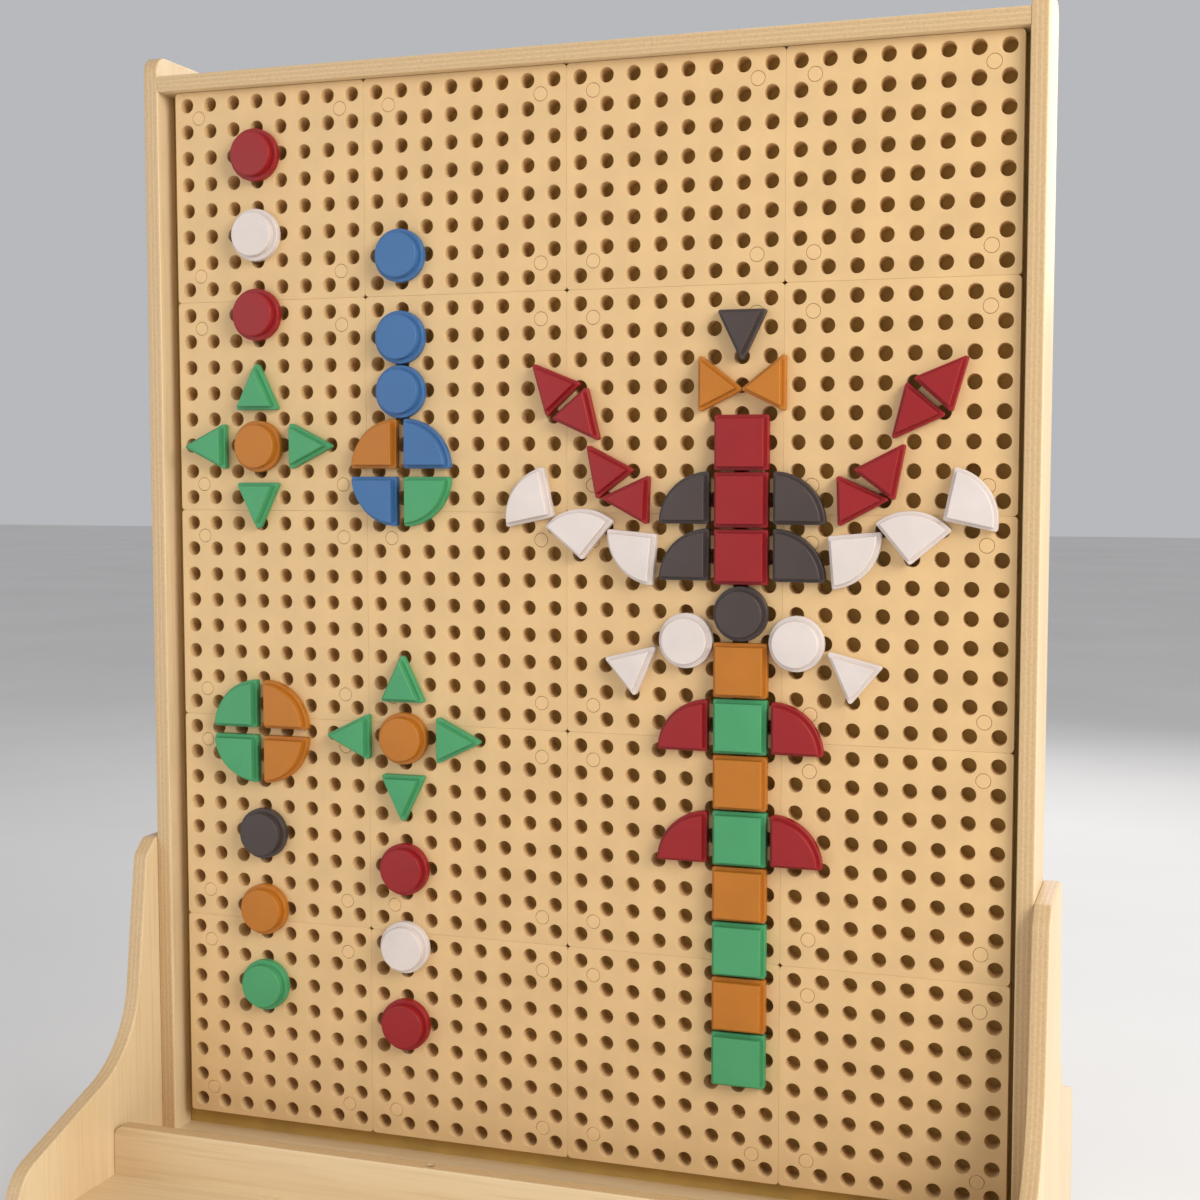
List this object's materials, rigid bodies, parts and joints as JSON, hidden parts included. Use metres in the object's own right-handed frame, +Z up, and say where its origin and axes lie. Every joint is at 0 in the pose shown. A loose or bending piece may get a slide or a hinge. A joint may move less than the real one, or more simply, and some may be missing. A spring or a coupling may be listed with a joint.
{
  "type": "peg board play wall",
  "caption": "Free-standing plywood frame with a wall of round-holed tiles, long sled feet and a peg tray, and loose coloured shape pegs set out as pictures.",
  "frame": {"origin": "on the floor, midway between the two foot panels and midway through the depth of the frame", "axes": "+Z up, the hole face looks towards -Y, +X to the right for someone who faces the holes"},
  "size_m": [0.878, 0.55, 1.16],
  "materials": {
    "plywood": "clear satin lacquer",
    "tile_tan": "fine matt",
    "steel": "plain",
    "peg_red": "satin",
    "peg_white": "satin",
    "peg_blue": "satin",
    "peg_green": "satin",
    "peg_orange": "satin",
    "peg_grey": "satin"
  },
  "bodies": {
    "frame": {"back_battens": "plywood", "back_panel": "plywood", "back_panel_screws": "steel", "backing_board": "plywood", "base_shelf": "plywood", "bottom_rail": "plywood", "foot_panel_left": "plywood", "foot_panel_right": "plywood", "front_lip": "plywood", "hole_tiles_row_1": "tile_tan", "hole_tiles_row_2": "tile_tan", "hole_tiles_row_3": "tile_tan", "hole_tiles_row_4": "tile_tan", "hole_tiles_row_5": "tile_tan", "joint_dowels": "plywood", "lip_screws": "steel", "side_panel_left": "plywood", "side_panel_right": "plywood", "tile_plugs": "tile_tan", "tile_screws": "steel", "top_rail": "plywood"},
    "peg_blue_disc_1": {"peg_blue_disc_1": "peg_blue"},
    "peg_blue_disc_2": {"peg_blue_disc_2": "peg_blue"},
    "peg_blue_disc_3": {"peg_blue_disc_3": "peg_blue"},
    "peg_figure_green_squares": {"peg_figure_green_squares": "peg_green"},
    "peg_figure_grey_disc": {"peg_figure_grey_disc": "peg_grey"},
    "peg_figure_grey_quarters_1": {"peg_figure_grey_quarters_1": "peg_grey"},
    "peg_figure_grey_quarters_2": {"peg_figure_grey_quarters_2": "peg_grey"},
    "peg_figure_grey_triangle": {"peg_figure_grey_triangle": "peg_grey"},
    "peg_figure_orange_squares": {"peg_figure_orange_squares": "peg_orange"},
    "peg_figure_orange_triangles": {"peg_figure_orange_triangles": "peg_orange"},
    "peg_figure_red_quarters": {"peg_figure_red_quarters": "peg_red"},
    "peg_figure_red_square_1": {"peg_figure_red_square_1": "peg_red"},
    "peg_figure_red_square_2": {"peg_figure_red_square_2": "peg_red"},
    "peg_figure_red_square_3": {"peg_figure_red_square_3": "peg_red"},
    "peg_figure_red_triangles_1": {"peg_figure_red_triangles_1": "peg_red"},
    "peg_figure_red_triangles_2": {"peg_figure_red_triangles_2": "peg_red"},
    "peg_figure_white_discs": {"peg_figure_white_discs": "peg_white"},
    "peg_figure_white_quarters_1": {"peg_figure_white_quarters_1": "peg_white"},
    "peg_figure_white_quarters_2": {"peg_figure_white_quarters_2": "peg_white"},
    "peg_figure_white_quarters_3": {"peg_figure_white_quarters_3": "peg_white"},
    "peg_figure_white_triangles": {"peg_figure_white_triangles": "peg_white"},
    "peg_flower_1_petals": {"peg_flower_1_petals": "peg_green"},
    "peg_flower_2_petals": {"peg_flower_2_petals": "peg_green"},
    "peg_green_disc_1": {"peg_green_disc_1": "peg_green"},
    "peg_grey_disc_1": {"peg_grey_disc_1": "peg_grey"},
    "peg_orange_disc_1": {"peg_orange_disc_1": "peg_orange"},
    "peg_orange_disc_2": {"peg_orange_disc_2": "peg_orange"},
    "peg_orange_disc_3": {"peg_orange_disc_3": "peg_orange"},
    "peg_red_disc_1": {"peg_red_disc_1": "peg_red"},
    "peg_red_disc_2": {"peg_red_disc_2": "peg_red"},
    "peg_red_disc_3": {"peg_red_disc_3": "peg_red"},
    "peg_red_disc_4": {"peg_red_disc_4": "peg_red"},
    "peg_wheel_1_blue": {"peg_wheel_1_blue": "peg_blue"},
    "peg_wheel_1_green": {"peg_wheel_1_green": "peg_green"},
    "peg_wheel_1_orange": {"peg_wheel_1_orange": "peg_orange"},
    "peg_wheel_2_green": {"peg_wheel_2_green": "peg_green"},
    "peg_wheel_2_orange": {"peg_wheel_2_orange": "peg_orange"},
    "peg_white_disc_1": {"peg_white_disc_1": "peg_white"},
    "peg_white_disc_2": {"peg_white_disc_2": "peg_white"}
  },
  "joints": [
    {"name": "blue_disc_1_pull", "type": "slide", "parent": "frame", "child": "peg_blue_disc_1", "axis": [0, -1, 0], "range_m": [0, 0.018]},
    {"name": "blue_disc_2_pull", "type": "slide", "parent": "frame", "child": "peg_blue_disc_2", "axis": [0, -1, 0], "range_m": [0, 0.018]},
    {"name": "blue_disc_3_pull", "type": "slide", "parent": "frame", "child": "peg_blue_disc_3", "axis": [0, -1, 0], "range_m": [0, 0.018]},
    {"name": "figure_green_squares_pull", "type": "slide", "parent": "frame", "child": "peg_figure_green_squares", "axis": [0, -1, 0], "range_m": [0, 0.018]},
    {"name": "figure_grey_disc_pull", "type": "slide", "parent": "frame", "child": "peg_figure_grey_disc", "axis": [0, -1, 0], "range_m": [0, 0.018]},
    {"name": "figure_grey_quarters_1_pull", "type": "slide", "parent": "frame", "child": "peg_figure_grey_quarters_1", "axis": [0, -1, 0], "range_m": [0, 0.018]},
    {"name": "figure_grey_quarters_2_pull", "type": "slide", "parent": "frame", "child": "peg_figure_grey_quarters_2", "axis": [0, -1, 0], "range_m": [0, 0.018]},
    {"name": "figure_grey_triangle_pull", "type": "slide", "parent": "frame", "child": "peg_figure_grey_triangle", "axis": [0, -1, 0], "range_m": [0, 0.018]},
    {"name": "figure_orange_squares_pull", "type": "slide", "parent": "frame", "child": "peg_figure_orange_squares", "axis": [0, -1, 0], "range_m": [0, 0.018]},
    {"name": "figure_orange_triangles_pull", "type": "slide", "parent": "frame", "child": "peg_figure_orange_triangles", "axis": [0, -1, 0], "range_m": [0, 0.018]},
    {"name": "figure_red_quarters_pull", "type": "slide", "parent": "frame", "child": "peg_figure_red_quarters", "axis": [0, -1, 0], "range_m": [0, 0.018]},
    {"name": "figure_red_square_1_pull", "type": "slide", "parent": "frame", "child": "peg_figure_red_square_1", "axis": [0, -1, 0], "range_m": [0, 0.018]},
    {"name": "figure_red_square_2_pull", "type": "slide", "parent": "frame", "child": "peg_figure_red_square_2", "axis": [0, -1, 0], "range_m": [0, 0.018]},
    {"name": "figure_red_square_3_pull", "type": "slide", "parent": "frame", "child": "peg_figure_red_square_3", "axis": [0, -1, 0], "range_m": [0, 0.018]},
    {"name": "figure_red_triangles_1_pull", "type": "slide", "parent": "frame", "child": "peg_figure_red_triangles_1", "axis": [0, -1, 0], "range_m": [0, 0.018]},
    {"name": "figure_red_triangles_2_pull", "type": "slide", "parent": "frame", "child": "peg_figure_red_triangles_2", "axis": [0, -1, 0], "range_m": [0, 0.018]},
    {"name": "figure_white_discs_pull", "type": "slide", "parent": "frame", "child": "peg_figure_white_discs", "axis": [0, -1, 0], "range_m": [0, 0.018]},
    {"name": "figure_white_quarters_1_pull", "type": "slide", "parent": "frame", "child": "peg_figure_white_quarters_1", "axis": [0, -1, 0], "range_m": [0, 0.018]},
    {"name": "figure_white_quarters_2_pull", "type": "slide", "parent": "frame", "child": "peg_figure_white_quarters_2", "axis": [0, -1, 0], "range_m": [0, 0.018]},
    {"name": "figure_white_quarters_3_pull", "type": "slide", "parent": "frame", "child": "peg_figure_white_quarters_3", "axis": [0, -1, 0], "range_m": [0, 0.018]},
    {"name": "figure_white_triangles_pull", "type": "slide", "parent": "frame", "child": "peg_figure_white_triangles", "axis": [0, -1, 0], "range_m": [0, 0.018]},
    {"name": "flower_1_petals_pull", "type": "slide", "parent": "frame", "child": "peg_flower_1_petals", "axis": [0, -1, 0], "range_m": [0, 0.018]},
    {"name": "flower_2_petals_pull", "type": "slide", "parent": "frame", "child": "peg_flower_2_petals", "axis": [0, -1, 0], "range_m": [0, 0.018]},
    {"name": "green_disc_1_pull", "type": "slide", "parent": "frame", "child": "peg_green_disc_1", "axis": [0, -1, 0], "range_m": [0, 0.018]},
    {"name": "grey_disc_1_pull", "type": "slide", "parent": "frame", "child": "peg_grey_disc_1", "axis": [0, -1, 0], "range_m": [0, 0.018]},
    {"name": "orange_disc_1_pull", "type": "slide", "parent": "frame", "child": "peg_orange_disc_1", "axis": [0, -1, 0], "range_m": [0, 0.018]},
    {"name": "orange_disc_2_pull", "type": "slide", "parent": "frame", "child": "peg_orange_disc_2", "axis": [0, -1, 0], "range_m": [0, 0.018]},
    {"name": "orange_disc_3_pull", "type": "slide", "parent": "frame", "child": "peg_orange_disc_3", "axis": [0, -1, 0], "range_m": [0, 0.018]},
    {"name": "red_disc_1_pull", "type": "slide", "parent": "frame", "child": "peg_red_disc_1", "axis": [0, -1, 0], "range_m": [0, 0.018]},
    {"name": "red_disc_2_pull", "type": "slide", "parent": "frame", "child": "peg_red_disc_2", "axis": [0, -1, 0], "range_m": [0, 0.018]},
    {"name": "red_disc_3_pull", "type": "slide", "parent": "frame", "child": "peg_red_disc_3", "axis": [0, -1, 0], "range_m": [0, 0.018]},
    {"name": "red_disc_4_pull", "type": "slide", "parent": "frame", "child": "peg_red_disc_4", "axis": [0, -1, 0], "range_m": [0, 0.018]},
    {"name": "wheel_1_blue_pull", "type": "slide", "parent": "frame", "child": "peg_wheel_1_blue", "axis": [0, -1, 0], "range_m": [0, 0.018]},
    {"name": "wheel_1_green_pull", "type": "slide", "parent": "frame", "child": "peg_wheel_1_green", "axis": [0, -1, 0], "range_m": [0, 0.018]},
    {"name": "wheel_1_orange_pull", "type": "slide", "parent": "frame", "child": "peg_wheel_1_orange", "axis": [0, -1, 0], "range_m": [0, 0.018]},
    {"name": "wheel_2_green_pull", "type": "slide", "parent": "frame", "child": "peg_wheel_2_green", "axis": [0, -1, 0], "range_m": [0, 0.018]},
    {"name": "wheel_2_orange_pull", "type": "slide", "parent": "frame", "child": "peg_wheel_2_orange", "axis": [0, -1, 0], "range_m": [0, 0.018]},
    {"name": "white_disc_1_pull", "type": "slide", "parent": "frame", "child": "peg_white_disc_1", "axis": [0, -1, 0], "range_m": [0, 0.018]},
    {"name": "white_disc_2_pull", "type": "slide", "parent": "frame", "child": "peg_white_disc_2", "axis": [0, -1, 0], "range_m": [0, 0.018]}
  ]
}
